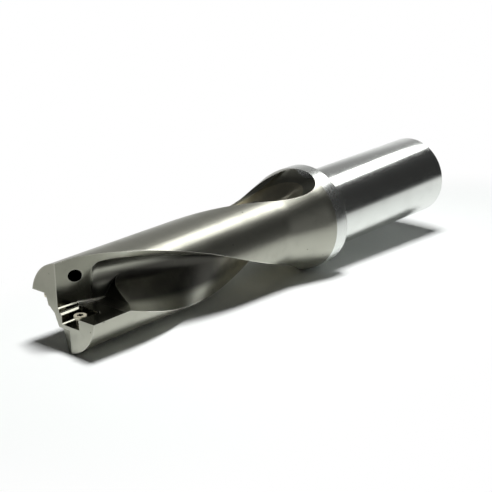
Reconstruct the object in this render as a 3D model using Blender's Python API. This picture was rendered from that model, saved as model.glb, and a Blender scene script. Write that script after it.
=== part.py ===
# Indexable drill with a cylindrical shank, shown without its two cutting inserts.
#
# The drill is one turned and milled steel piece. It is built along its own axis:
# X runs from the cutting end (X = 0) to the end of the shank, and the angles of the
# section plane are measured from +Y towards +Z, so a right-hand flute gains angle with X.
# The inner pocket, which cuts across the centre, is in the lobe that faces -Y and -Z.
# At the end everything hangs from one empty that lays the drill down on the floor.

import math

import bmesh
import bpy
from mathutils import Matrix, Vector

MM = 0.001

# Turned blank
BODY_RADIUS = 12.0 * MM
BODY_LENGTH = 77.5 * MM
CONE_LENGTH = 12.5 * MM
CONE_RADIUS = 15.4 * MM
COLLAR_LENGTH = 3.3 * MM
RIM_RADIUS = 15.8 * MM
RIM_LENGTH = 5.5 * MM
RIM_CHAMFER = 0.5 * MM
SHANK_RADIUS = 12.5 * MM
SHANK_LENGTH = 56.0 * MM
SHANK_CHAMFER = 1.0 * MM
ROUND_SEGMENTS = 96

# Helical flutes
TWIST_PER_MM = math.radians(1.835)
TWIST_START = 4.9 * MM
TWIST_EASE = 3.0 * MM
FLUTE_HEEL_ANGLE = math.radians(84.5)
FLUTE_LIP_ANGLE = math.radians(172.9)
HEEL_STRIP_RADIUS = 10.7 * MM
WEB_HALF = 2.4 * MM
WEB_TAPER = 0.06
WEB_TAPER_START = 45.0 * MM
GULLET_RADIUS = 4.4 * MM
GULLET_REACH = 2.6 * MM
FLUTE_START = 10.5 * MM
FLUTE_START_RADIUS = 5.0 * MM
FLUTE_RUNOUT = 79.5 * MM
FLUTE_RUNOUT_RADIUS = 15.0 * MM
FLUTE_STEP = 2.0 * MM
GULLET_POINTS = 14

# Gashes that open the flutes at the cutting end
GASH_LENGTH = 19.0 * MM
WALL_OFFSET = 1.9 * MM
WALL_OFFSET_AT_END = 1.1 * MM
WALL_FOOT = 4.4 * MM
INNER_FLOOR = -1.5 * MM
INNER_LEDGE_HEIGHT = -0.1 * MM
INNER_LEDGE_WIDTH = 0.8 * MM
INNER_CORNER_SHIFT = 6.2 * MM
INNER_LEDGE_FALL = 0.3 * MM
OUTER_FLOOR = -0.4 * MM
OUTER_WALL_FOOT = Vector((3.3, -1.9)) * MM
OUTER_CORNER = 5.2 * MM
OUTER_WALL_LEAN = math.radians(22)

# Insert pockets
POCKET_LENGTH = 6.8 * MM
INNER_POCKET_SIDE = 0.6 * MM
INNER_POCKET_WIDTH = 6.6 * MM
INNER_POCKET_FLARE = 0.4 * MM
INNER_POCKET_FLOOR = -4.4 * MM
POCKET_STEP_WIDTH = 0.5 * MM
POCKET_STEP_HEIGHT = 2.4 * MM
OUTER_POCKET_SIDE = 6.4 * MM
OUTER_POCKET_FLOOR = 2.8 * MM
OUTER_SIDE_LEAN = 1.2 * MM
RELIEF_RADIUS = 0.7 * MM
RELIEF_INSET = 0.2 * MM
END_RELIEF_ANGLE = math.radians(16)
END_RELIEF_EDGE = -2.4 * MM

# Insert screws
SCREW_SETBACK = 3.5 * MM
INNER_SCREW_SIDE = -2.6 * MM
OUTER_SCREW_SIDE = 8.7 * MM
SCREW_STAND = 2.3 * MM
SCREW_HEAD_RADIUS = 1.7 * MM
SCREW_HEAD_RIM = 0.7 * MM
SCREW_CONE_HEIGHT = 0.8 * MM
SCREW_THREAD_RADIUS = 1.2 * MM
SCREW_LENGTH = 6.2 * MM
SCREW_POINT = 0.3 * MM
SOCKET_RADIUS = 0.85 * MM
SOCKET_LOBE = 0.12 * MM
SOCKET_DEPTH = 0.9 * MM
FIT_GAP = 0.3 * MM
SCREW_SEGMENTS = 36

# Coolant channels
INLET_RADIUS = 4.5 * MM
INLET_CHAMFER = 0.8 * MM
INLET_END = 103.0 * MM
DUCT_RADIUS = 1.6 * MM
DUCT_ORBIT = 7.9 * MM
DUCT_ANGLE = math.radians(34.7)
DUCT_BEND = 11.0 * MM
DUCT_END = 88.0 * MM
DUCT_JOIN = Vector((107.0 * MM, 2.0 * MM))
DUCT_STEP = 4.0 * MM
DUCT_SEGMENTS = 12
DUCT_OVERRUN = 3.0 * MM
INNER_OUTLET = Vector((6.6, 1.9, 6.8)) * MM
OUTER_OUTLET = Vector((6.9, 1.2, -7.2)) * MM

# Places along the axis that follow from the lengths
COLLAR_START = BODY_LENGTH + CONE_LENGTH
RIM_START = COLLAR_START + COLLAR_LENGTH
SHANK_START = RIM_START + RIM_LENGTH
TOTAL_LENGTH = SHANK_START + SHANK_LENGTH
CLEAR = 1.0 * MM

STEEL = (0.36, 0.36, 0.33, 1.0)
SCREW_STEEL = (0.55, 0.53, 0.45, 1.0)


def material(name, colour, roughness):
    made = bpy.data.materials.new(name)
    made.use_nodes = True
    shader = made.node_tree.nodes["Principled BSDF"]
    shader.inputs["Base Color"].default_value = colour
    shader.inputs["Roughness"].default_value = roughness
    shader.inputs["Metallic"].default_value = 1.0
    return made


def polar(radius, angle):
    """Point of the section plane as (y, z)."""
    return Vector((radius * math.cos(angle), radius * math.sin(angle)))


def turned(point, angle):
    """Point of the section plane turned about the drill's axis."""
    return Matrix.Rotation(angle, 2) @ point


def twist(x):
    """Angle that the flutes have turned through at this place on the axis."""
    rate = TWIST_PER_MM / MM
    ahead = x - TWIST_START
    if ahead <= -TWIST_EASE:
        return 0.0
    if ahead < TWIST_EASE:
        return rate * (ahead + TWIST_EASE) ** 2 / (4 * TWIST_EASE)
    return rate * ahead


def object_from(name, bm):
    bmesh.ops.recalc_face_normals(bm, faces=bm.faces)
    mesh = bpy.data.meshes.new(name)
    bm.to_mesh(mesh)
    bm.free()
    made = bpy.data.objects.new(name, mesh)
    bpy.context.scene.collection.objects.link(made)
    return made


def loft(name, loops):
    """Closed solid through loops that all have the same number of points."""
    bm = bmesh.new()
    rings = [[bm.verts.new(point) for point in loop] for loop in loops]
    count = len(rings[0])
    for near, far in zip(rings, rings[1:]):
        for i in range(count):
            j = (i + 1) % count
            bm.faces.new((near[i], near[j], far[j], far[i]))
    bm.faces.new(rings[0])
    bm.faces.new(rings[-1])
    return object_from(name, bm)


def circle(radius, segments, phase=0.0):
    """Points of a circle of the section plane."""
    return [polar(radius, phase + math.tau * i / segments) for i in range(segments)]


def turn_along_x(name, profile, segments, phase=0.0):
    """Solid turned about X from (x, radius) points, closed flat at both ends."""
    loops = []
    for x, radius in profile:
        loops.append([(x, *point) for point in circle(radius, segments, phase)])
    return loft(name, loops)


def prism(name, outline, bottom, top):
    """Solid with an outline in X and Y, between two heights."""
    return loft(name, [[(x, y, z) for x, y in outline] for z in (bottom, top)])


def cut(body, cutter):
    """Takes the cutter's shape out of the body and leaves the cutter as a guide."""
    cutter.hide_render = True
    cutter.display_type = "WIRE"
    step = body.modifiers.new(cutter.name, "BOOLEAN")
    step.operation = "DIFFERENCE"
    step.solver = "EXACT"
    step.object = cutter


# Turned blank: body, cone, collar with its rim, shank


def blank():
    profile = (
        (0.0, BODY_RADIUS),
        (BODY_LENGTH, BODY_RADIUS),
        (COLLAR_START, CONE_RADIUS),
        (RIM_START, RIM_RADIUS),
        (SHANK_START - RIM_CHAMFER, RIM_RADIUS),
        (SHANK_START, RIM_RADIUS - RIM_CHAMFER),
        (SHANK_START, SHANK_RADIUS),
        (TOTAL_LENGTH - SHANK_CHAMFER, SHANK_RADIUS),
        (TOTAL_LENGTH, SHANK_RADIUS - SHANK_CHAMFER),
    )
    flat_down = math.pi / ROUND_SEGMENTS
    return turn_along_x("drill_body", profile, ROUND_SEGMENTS, flat_down)


# Helical flutes: a heel strip, a round gullet and a flat lip wall


def gullet_centre():
    """Centre of the gullet, which reaches GULLET_REACH and leaves half the web."""
    y = GULLET_REACH - GULLET_RADIUS
    z = math.sqrt((GULLET_RADIUS + WEB_HALF) ** 2 - y ** 2)
    return Vector((y, z))


def flute_section():
    """Outline of the flute before it twists, from the heel round to the lip."""
    outside = 1.8 * RIM_RADIUS
    heel = polar(BODY_RADIUS, FLUTE_HEEL_ANGLE)
    lip = polar(BODY_RADIUS, FLUTE_LIP_ANGLE)
    centre = gullet_centre()
    away = centre.length
    strip_turn = math.acos(
        (away ** 2 + HEEL_STRIP_RADIUS ** 2 - GULLET_RADIUS ** 2) / (2 * away * HEEL_STRIP_RADIUS)
    )
    strip = polar(HEEL_STRIP_RADIUS, math.atan2(centre.y, centre.x) - strip_turn)
    first = math.atan2(strip.y - centre.y, strip.x - centre.x)
    to_centre = centre - lip
    wall_rise = math.atan2(to_centre.y, to_centre.x) - math.asin(GULLET_RADIUS / to_centre.length)
    last = wall_rise - math.pi / 2
    arc = []
    for i in range(GULLET_POINTS + 1):
        angle = first + (last - first) * i / GULLET_POINTS
        arc.append(centre + polar(GULLET_RADIUS, angle))
    heel_out = heel + (heel - strip).normalized() * outside
    lip_out = lip - polar(outside, wall_rise)
    corner = Vector((lip_out.x, heel_out.y))
    return [heel_out, heel, *arc, lip, lip_out, corner]


def lift(x):
    """How far the cutter stands off its full depth at this place on the axis."""
    full_depth = FLUTE_START + FLUTE_START_RADIUS
    taper = WEB_TAPER * max(x - WEB_TAPER_START, 0.0)
    if x > FLUTE_RUNOUT:
        radius = FLUTE_RUNOUT_RADIUS
        run = min(x - FLUTE_RUNOUT, radius)
    else:
        radius = FLUTE_START_RADIUS
        run = min(max(full_depth - x, 0.0), radius)
    return taper + radius - math.sqrt(radius ** 2 - run ** 2)


def flute_places():
    """Places along the axis for the flute's sections, closer where it runs out."""
    places = []
    for i in range(6):
        places.append(FLUTE_START + FLUTE_START_RADIUS * (1 - math.cos(math.pi / 2 * i / 6)))
    x = FLUTE_START + FLUTE_START_RADIUS
    while x < FLUTE_RUNOUT:
        places.append(x)
        x += FLUTE_STEP
    for i in range(11):
        places.append(FLUTE_RUNOUT + FLUTE_RUNOUT_RADIUS * math.sin(math.pi / 2 * i / 10))
    return places


def flute(name, start_angle):
    section = flute_section()
    mouth = (FLUTE_HEEL_ANGLE + FLUTE_LIP_ANGLE) / 2
    loops = []
    for x in flute_places():
        starting = x < FLUTE_START + FLUTE_START_RADIUS
        away = polar(lift(x), math.pi if starting else mouth)
        angle = start_angle + twist(x)
        loops.append([(x, *turned(point + away, angle)) for point in section])
    return loft(name, loops)


# Gashes: the planes that open each flute at the cutting end


def gash_places():
    steps = 10
    return [-CLEAR] + [GASH_LENGTH * i / steps for i in range(steps + 1)]


def inner_gash():
    """Gash in front of the inner pocket; its tall wall carries a coolant outlet."""
    outside = 1.5 * BODY_RADIUS
    loops = []
    for x in gash_places():
        angle = twist(x)
        past = max(x - POCKET_LENGTH, 0.0) / (GASH_LENGTH - POCKET_LENGTH)
        offset = WALL_OFFSET + (WALL_OFFSET_AT_END - WALL_OFFSET) * past
        corner_y = WALL_OFFSET - INNER_CORNER_SHIFT * past
        corner_z = INNER_LEDGE_HEIGHT - INNER_LEDGE_FALL * min(max(x, 0.0) / POCKET_LENGTH, 1.0)
        outline = [
            turned(Vector((offset, outside)), angle),
            turned(Vector((offset, WALL_FOOT)), angle),
            Vector((corner_y, corner_z)),
            Vector((corner_y - INNER_LEDGE_WIDTH, corner_z)),
            Vector((corner_y - INNER_LEDGE_WIDTH, INNER_FLOOR)),
            Vector((-outside, INNER_FLOOR)),
            Vector((-outside, outside)),
        ]
        loops.append([(x, *point) for point in outline])
    return loft("inner_gash", loops)


def outer_gash():
    """Gash in front of the outer pocket, set over to leave the inner pocket its wall."""
    outside = 1.5 * BODY_RADIUS
    wall = Vector((math.sin(OUTER_WALL_LEAN), math.cos(OUTER_WALL_LEAN)))
    loops = []
    for x in gash_places():
        angle = twist(x)
        outline = [
            turned(OUTER_WALL_FOOT - outside * wall, angle),
            OUTER_WALL_FOOT,
            Vector((OUTER_CORNER, OUTER_FLOOR)),
            Vector((outside, OUTER_FLOOR)),
            Vector((outside, -2 * outside)),
        ]
        loops.append([(x, *point) for point in outline])
    return loft("outer_gash", loops)


# Insert pockets, with round reliefs in their back corners


def relief(name, x, y, bottom, top):
    outline = [(x + p.x, y + p.y) for p in circle(RELIEF_RADIUS, 16)]
    return prism(name, outline, bottom, top)


def cut_inner_pocket(body):
    side = INNER_POCKET_SIDE
    far_front = side - INNER_POCKET_WIDTH
    far_back = far_front - INNER_POCKET_FLARE
    floor = INNER_POCKET_FLOOR
    seat = ((-CLEAR, side), (-CLEAR, far_front), (POCKET_LENGTH, far_back), (POCKET_LENGTH, side))
    cut(body, prism("inner_pocket", seat, floor, INNER_LEDGE_HEIGHT + CLEAR))
    step_side = side + POCKET_STEP_WIDTH
    step = ((-CLEAR, step_side), (-CLEAR, 0.0), (POCKET_LENGTH, 0.0), (POCKET_LENGTH, step_side))
    step_floor = floor + POCKET_STEP_HEIGHT
    cut(body, prism("inner_pocket_step", step, step_floor, INNER_LEDGE_HEIGHT + CLEAR))
    near_corner = side - RELIEF_INSET
    far_corner = far_back + RELIEF_INSET
    for name, y in (("inner_relief_near", near_corner), ("inner_relief_far", far_corner)):
        cut(body, relief(name, POCKET_LENGTH - RELIEF_INSET, y, floor, INNER_FLOOR + CLEAR))


def cut_outer_pocket(body):
    """The outer pocket is open to the outside, and its side wall leans."""
    out = 1.5 * BODY_RADIUS
    loops = []
    for z, side in (
        (OUTER_FLOOR - CLEAR, OUTER_POCKET_SIDE - OUTER_SIDE_LEAN),
        (OUTER_POCKET_FLOOR, OUTER_POCKET_SIDE),
    ):
        seat = ((-CLEAR, side), (-CLEAR, out), (POCKET_LENGTH, out), (POCKET_LENGTH, side))
        loops.append([(x, y, z) for x, y in seat])
    cut(body, loft("outer_pocket", loops))
    corner = OUTER_POCKET_SIDE - RELIEF_INSET
    end = POCKET_LENGTH - RELIEF_INSET
    cut(body, relief("outer_relief", end, corner, OUTER_FLOOR - CLEAR, OUTER_POCKET_FLOOR))


def cut_end_relief(body):
    """Facet that falls away from the end face of the lower lobe, past its edge."""
    far = BODY_RADIUS
    back = (far - END_RELIEF_EDGE) * math.tan(END_RELIEF_ANGLE)
    outline = ((-CLEAR, END_RELIEF_EDGE), (0.0, END_RELIEF_EDGE), (back, far), (-CLEAR, far))
    cut(body, prism("end_relief", outline, -2 * BODY_RADIUS, INNER_POCKET_FLOOR - CLEAR))


# Coolant channels: an inlet in the shank and a twisted duct in each lobe


def duct(name, start_angle, outlet):
    bend = (DUCT_BEND, *polar(DUCT_ORBIT, start_angle + DUCT_ANGLE + twist(DUCT_BEND)))
    outward = (outlet - Vector(bend)).normalized()
    route = [outlet + outward * DUCT_OVERRUN, outlet, Vector(bend)]
    x = DUCT_BEND + DUCT_STEP
    while x <= DUCT_END:
        route.append(Vector((x, *polar(DUCT_ORBIT, start_angle + DUCT_ANGLE + twist(x)))))
        x += DUCT_STEP
    last_angle = start_angle + DUCT_ANGLE + twist(DUCT_END)
    route.append(Vector((DUCT_JOIN.x, *polar(DUCT_JOIN.y, last_angle))))
    loops = []
    for i, point in enumerate(route):
        ahead = route[min(i + 1, len(route) - 1)] - route[max(i - 1, 0)]
        ahead.normalize()
        side = ahead.cross(Vector((0, 0, 1))).normalized()
        up = side.cross(ahead)
        ring = circle(DUCT_RADIUS, DUCT_SEGMENTS)
        loops.append([point + side * p.x + up * p.y for p in ring])
    return loft(name, loops)


def cut_coolant(body):
    end = TOTAL_LENGTH + CLEAR
    profile = (
        (INLET_END, INLET_RADIUS),
        (TOTAL_LENGTH - INLET_CHAMFER, INLET_RADIUS),
        (end, INLET_RADIUS + INLET_CHAMFER + CLEAR),
    )
    cut(body, turn_along_x("coolant_inlet", profile, SCREW_SEGMENTS))
    cut(body, duct("inner_duct", 0.0, INNER_OUTLET))
    cut(body, duct("outer_duct", math.pi, OUTER_OUTLET))


# Insert screws: countersunk heads with a lobed socket, standing in their tapped holes


def screw_mesh(steel):
    """Screw along Z with the middle of its head's top at the origin."""
    cone_end = -SCREW_HEAD_RIM - SCREW_CONE_HEIGHT
    profile = (
        (0.0, SCREW_HEAD_RADIUS),
        (-SCREW_HEAD_RIM, SCREW_HEAD_RADIUS),
        (cone_end, SCREW_THREAD_RADIUS),
        (-SCREW_LENGTH + SCREW_POINT, SCREW_THREAD_RADIUS),
        (-SCREW_LENGTH, SCREW_THREAD_RADIUS - SCREW_POINT),
    )
    loops = []
    for z, radius in profile:
        loops.append([(*point, z) for point in circle(radius, SCREW_SEGMENTS)])
    socket = []
    for i in range(SCREW_SEGMENTS):
        angle = math.tau * i / SCREW_SEGMENTS
        socket.append(polar(SOCKET_RADIUS + SOCKET_LOBE * math.cos(6 * angle), angle))
    top = [(*point, 0.0) for point in socket]
    bottom = [(*point, -SOCKET_DEPTH) for point in socket]
    blank_screw = loft("insert_screw_form", [bottom, top, *loops])
    mesh = blank_screw.data
    bpy.data.objects.remove(blank_screw)
    mesh.materials.append(steel)
    return mesh


def add_screw(name, mesh, y, floor, points_up):
    made = bpy.data.objects.new(name, mesh)
    bpy.context.scene.collection.objects.link(made)
    sign = 1 if points_up else -1
    made.location = (SCREW_SETBACK, y, floor + sign * SCREW_STAND)
    made.rotation_euler = (0.0 if points_up else math.pi, 0.0, 0.0)
    return made


def cut_screw_hole(body, name, y, floor, points_up):
    depth = SCREW_LENGTH - SCREW_STAND + FIT_GAP
    outline = [(SCREW_SETBACK + p.x, y + p.y) for p in circle(SCREW_THREAD_RADIUS + FIT_GAP, 24)]
    if points_up:
        cut(body, prism(name, outline, floor - depth, floor + CLEAR))
    else:
        cut(body, prism(name, outline, floor - CLEAR, floor + depth))


# Resting place: tilted until the rim and the lower lobe both touch the floor


def rest_pose():
    facet = math.cos(math.pi / ROUND_SEGMENTS)
    rim_drop = RIM_RADIUS * facet
    lobe_drop = BODY_RADIUS * facet
    tilt = math.atan2(rim_drop - lobe_drop, RIM_START)
    height = rim_drop * math.cos(tilt) - RIM_START * math.sin(tilt)
    tip_reach = -BODY_RADIUS * facet * math.sin(tilt)
    shank_drop = SHANK_RADIUS - SHANK_CHAMFER
    end_reach = TOTAL_LENGTH * math.cos(tilt) + shank_drop * facet * math.sin(tilt)
    rest = bpy.data.objects.new("rest_pose", None)
    bpy.context.scene.collection.objects.link(rest)
    rest.rotation_euler = (0.0, -tilt, 0.0)
    rest.location = (-(tip_reach + end_reach) / 2, 0.0, height)
    return rest


def main():
    for old in list(bpy.data.objects):
        bpy.data.objects.remove(old, do_unlink=True)

    body = blank()
    body.data.materials.append(material("tool_steel", STEEL, 0.3))
    cut(body, flute("inner_flute", 0.0))
    cut(body, flute("outer_flute", math.pi))
    cut(body, inner_gash())
    cut(body, outer_gash())
    cut_inner_pocket(body)
    cut_outer_pocket(body)
    cut_end_relief(body)
    cut_coolant(body)
    cut_screw_hole(body, "inner_tapping", INNER_SCREW_SIDE, INNER_POCKET_FLOOR, True)
    cut_screw_hole(body, "outer_tapping", OUTER_SCREW_SIDE, OUTER_POCKET_FLOOR, False)

    screw = screw_mesh(material("screw_steel", SCREW_STEEL, 0.35))
    add_screw("inner_insert_screw", screw, INNER_SCREW_SIDE, INNER_POCKET_FLOOR, True)
    add_screw("outer_insert_screw", screw, OUTER_SCREW_SIDE, OUTER_POCKET_FLOOR, False)

    rest = rest_pose()
    for made in bpy.data.objects:
        if made is not rest:
            made.parent = rest


main()
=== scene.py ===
import math

import bmesh
import bpy
from mathutils import Matrix, Vector


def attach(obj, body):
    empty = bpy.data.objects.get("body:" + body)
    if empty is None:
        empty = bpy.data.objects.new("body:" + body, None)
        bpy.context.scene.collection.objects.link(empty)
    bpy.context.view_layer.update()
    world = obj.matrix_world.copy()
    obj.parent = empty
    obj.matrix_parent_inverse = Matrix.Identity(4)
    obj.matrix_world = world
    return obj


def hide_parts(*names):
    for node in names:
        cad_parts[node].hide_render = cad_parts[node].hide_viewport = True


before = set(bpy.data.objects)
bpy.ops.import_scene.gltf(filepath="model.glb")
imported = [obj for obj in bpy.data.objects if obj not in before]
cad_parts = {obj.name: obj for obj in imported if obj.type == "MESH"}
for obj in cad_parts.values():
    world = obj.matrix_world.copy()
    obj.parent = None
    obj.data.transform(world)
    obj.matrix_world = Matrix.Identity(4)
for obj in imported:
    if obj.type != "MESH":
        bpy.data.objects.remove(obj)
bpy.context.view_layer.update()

MM = 0.001


# The drill body is one bar of heat-treated tool steel, turned to its body, cone, rim and
# shank. Everything here is in millimetres along the drill's own axis: x runs from the
# cutting end to the shank's end, and angles go from +Y towards +Z.

BODY_RADIUS = 12.0
CONE_START = 77.5
CONE_BLEND = 2.0
CONE_BEND = 90.0
CONE_BEND_RADIUS = 15.4
RIM_FRONT = 93.3
RIM_BACK = 98.8
RIM_RADIUS = 15.8
RIM_CHAMFER = 0.5
RIM_BLEND = 1.5
SHANK_RADIUS = 12.5
SHANK_END = 154.8
SHANK_CHAMFER = 1.0
SHANK_CREASE = 0.35
EDGE_ROUND = 0.12
SMOOTH_TURN = math.radians(12)
TURNED_SEGMENTS = 288


def polar(radius, angle):
    return Vector((radius * math.cos(angle), radius * math.sin(angle)))


def lofted(name, loops):
    """Closed mesh object through loops of equal length, in the drill's millimetres."""
    bm = bmesh.new()
    rings = [[bm.verts.new(point) for point in loop] for loop in loops]
    count = len(rings[0])
    for near, far in zip(rings, rings[1:]):
        for i in range(count):
            j = (i + 1) % count
            bm.faces.new((near[i], near[j], far[j], far[i]))
    bm.faces.new(rings[0])
    bm.faces.new(rings[-1])
    bmesh.ops.recalc_face_normals(bm, faces=bm.faces)
    mesh = bpy.data.meshes.new(name)
    bm.to_mesh(mesh)
    bm.free()
    made = bpy.data.objects.new(name, mesh)
    bpy.context.scene.collection.objects.link(made)
    return made


def rounded(corners, radius, steps=3):
    """Profile with each inner corner replaced by a short arc, as a real edge has."""
    points = [Vector(corners[0])]
    for before, corner, after in zip(corners, corners[1:], corners[2:]):
        corner = Vector(corner)
        back = (Vector(before) - corner).normalized()
        ahead = (Vector(after) - corner).normalized()
        turn = math.pi - back.angle(ahead)
        if turn < SMOOTH_TURN:
            points.append(corner)
            continue
        for i in range(steps + 1):
            t = i / steps
            near = corner + back * radius * (1 - t) ** 2
            points.append(near + ahead * radius * t ** 2)
    points.append(Vector(corners[-1]))
    return points


def turned(name, profile, segments):
    """Solid of revolution round the drill's axis, from a profile of (x, radius)."""
    loops = []
    for x, radius in profile:
        ring = [polar(radius, math.tau * i / segments) for i in range(segments)]
        loops.append([(x, *point) for point in ring])
    return lofted(name, loops)


outline = [
    (0.0, BODY_RADIUS),
    (CONE_START - CONE_BLEND, BODY_RADIUS),
    (CONE_START, BODY_RADIUS + 0.14),
    (CONE_START + CONE_BLEND, BODY_RADIUS + 0.56),
    (CONE_BEND - RIM_BLEND, CONE_BEND_RADIUS - 0.4),
    (CONE_BEND, CONE_BEND_RADIUS),
    (RIM_FRONT - RIM_BLEND, RIM_RADIUS - 0.13),
    (RIM_FRONT, RIM_RADIUS),
    (RIM_BACK - RIM_CHAMFER, RIM_RADIUS),
    (RIM_BACK, RIM_RADIUS - RIM_CHAMFER),
    (RIM_BACK, SHANK_RADIUS - SHANK_CREASE),
    (RIM_BACK + 2 * SHANK_CREASE, SHANK_RADIUS - SHANK_CREASE),
    (RIM_BACK + 3 * SHANK_CREASE, SHANK_RADIUS),
    (SHANK_END - SHANK_CHAMFER, SHANK_RADIUS),
    (SHANK_END, SHANK_RADIUS - SHANK_CHAMFER),
    (SHANK_END, 0.5 * SHANK_RADIUS),
]
body = turned("drill_steel", rounded(outline, EDGE_ROUND), TURNED_SEGMENTS)


def as_modified(part):
    """A new mesh of the part as its modifiers leave it."""
    graph = bpy.context.evaluated_depsgraph_get()
    return bpy.data.meshes.new_from_object(part.evaluated_get(graph))


def cut_from(part, cutter):
    """Takes the cutter's shape out of the part for good, and removes the cutter."""
    step = part.modifiers.new("cut", "BOOLEAN")
    step.operation = "DIFFERENCE"
    step.solver = "EXACT"
    step.object = cutter
    result = as_modified(part)
    part.modifiers.remove(step)
    part.data = result
    bpy.data.objects.remove(cutter)


# The two chip flutes are milled with one form cutter while the bar turns: a narrow heel
# strip, a round gullet and a flat lip wall, twisting to the right and running out in the
# collar. Geometry Nodes sweep the cutter's section along the axis by that rule.

TWIST_PER_MM = math.radians(1.835)
TWIST_START = 4.9
TWIST_EASE = 3.0
FLUTE_HEEL = math.radians(84.5)
FLUTE_LIP = math.radians(172.9)
FLUTE_MOUTH = (FLUTE_HEEL + FLUTE_LIP) / 2
WEB_HALF = 2.4
WEB_TAPER = 0.06
WEB_TAPER_START = 45.0
GULLET_RADIUS = 4.4
GULLET_REACH = 2.6
GULLET_STEPS = 40
SECTION_REACH = 30.0
FLUTE_START = 9.4
FLUTE_START_RADIUS = 4.0
FLUTE_RUNOUT = 79.5
FLUTE_RUNOUT_RADIUS = 15.0
ENTRY_STEPS = 16
STRAIGHT_STEPS = 120
END_STEPS = 40
MERGE_DISTANCE = 0.00001


def twist(x):
    """How far the flutes have turned at x; the turning sets in gently."""
    ahead = x - TWIST_START
    if ahead <= -TWIST_EASE:
        return 0.0
    if ahead < TWIST_EASE:
        return TWIST_PER_MM * (ahead + TWIST_EASE) ** 2 / (4 * TWIST_EASE)
    return TWIST_PER_MM * ahead


def line_points(start, end, steps):
    return [start.lerp(end, i / steps) for i in range(steps)]


def flute_outline():
    """The form cutter's closed outline: heel strip, gullet arc, lip wall, then outside."""
    heel = polar(BODY_RADIUS, FLUTE_HEEL)
    lip = polar(BODY_RADIUS, FLUTE_LIP)
    centre_y = GULLET_REACH - GULLET_RADIUS
    centre = Vector((centre_y, math.sqrt((GULLET_RADIUS + WEB_HALF) ** 2 - centre_y ** 2)))
    strip = Vector((heel.x, centre.y + math.sqrt(GULLET_RADIUS ** 2 - (heel.x - centre.x) ** 2)))
    first = math.atan2(strip.y - centre.y, strip.x - centre.x)
    to_centre = centre - lip
    rise = math.atan2(to_centre.y, to_centre.x) - math.asin(GULLET_RADIUS / to_centre.length)
    last = rise - math.pi / 2
    arc = []
    for i in range(GULLET_STEPS + 1):
        arc.append(centre + polar(GULLET_RADIUS, first + (last - first) * i / GULLET_STEPS))
    heel_out = heel + (heel - strip).normalized() * SECTION_REACH
    lip_out = lip - polar(SECTION_REACH, rise)
    corner = Vector((lip_out.x, heel_out.y))
    points = line_points(heel_out, heel, 2) + line_points(heel, arc[0], 3) + arc
    points += line_points(arc[-1], lip, 8)[1:] + line_points(lip, lip_out, 2) + [lip_out, corner]
    return points


class Wire:
    """A node socket that adds its Math nodes when it is used in an expression."""

    def __init__(self, tree, socket):
        self.tree = tree
        self.socket = socket

    def node(self, kind, settings=(), **inputs):
        """A node of any type; settings come first, then values or wires by socket name."""
        made = self.tree.nodes.new(kind)
        for name, value in dict(settings).items():
            setattr(made, name, value)
        for name, value in inputs.items():
            key = int(name[1:]) if name[0] == "_" and name[1:].isdigit() else name.replace("_", " ")
            socket = made.inputs[key]
            if isinstance(value, Wire):
                self.tree.links.new(value.socket, socket)
            else:
                socket.default_value = value
        return made

    def out(self, made, name=0):
        return Wire(self.tree, made.outputs[name])

    def maths(self, operation, *values):
        inputs = {f"_{i}": value for i, value in enumerate(values)}
        return self.out(self.node("ShaderNodeMath", {"operation": operation}, **inputs))

    def __add__(self, other):
        return self.maths("ADD", self, other)

    def __radd__(self, other):
        return self.maths("ADD", other, self)

    def __sub__(self, other):
        return self.maths("SUBTRACT", self, other)

    def __rsub__(self, other):
        return self.maths("SUBTRACT", other, self)

    def __mul__(self, other):
        return self.maths("MULTIPLY", self, other)

    def __rmul__(self, other):
        return self.maths("MULTIPLY", other, self)

    def __truediv__(self, other):
        return self.maths("DIVIDE", self, other)

    def __pow__(self, other):
        return self.maths("POWER", self, other)

    def low(self, other):
        return self.maths("MINIMUM", self, other)

    def high(self, other):
        return self.maths("MAXIMUM", self, other)

    def sine(self):
        return self.maths("SINE", self)

    def cosine(self):
        return self.maths("COSINE", self)

    def step(self, edge, width):
        """0 below the edge, 1 above it, with a soft change of that width."""
        made = self.node(
            "ShaderNodeMapRange",
            {"interpolation_type": "SMOOTHSTEP"},
            Value=self,
            From_Min=edge - width / 2,
            From_Max=edge + width / 2,
        )
        return self.out(made)

    def within(self, middle, half, width):
        """1 up to half away from the middle, 0 further off, with a soft change."""
        return 1 - self.maths("ABSOLUTE", self - middle).step(half, width)


def group_inputs(tree, geometry, numbers):
    """Adds a node group's inputs and returns the modifier's key for each, by name."""
    tree.interface.new_socket(geometry, in_out="INPUT", socket_type="NodeSocketGeometry")
    kinds = {name: "NodeSocketFloat" for name in numbers}
    kinds["Material"] = "NodeSocketMaterial"
    keys = {}
    for name, kind in kinds.items():
        made = tree.interface.new_socket(name, in_out="INPUT", socket_type=kind)
        keys[name] = made.identifier
    return keys


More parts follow.
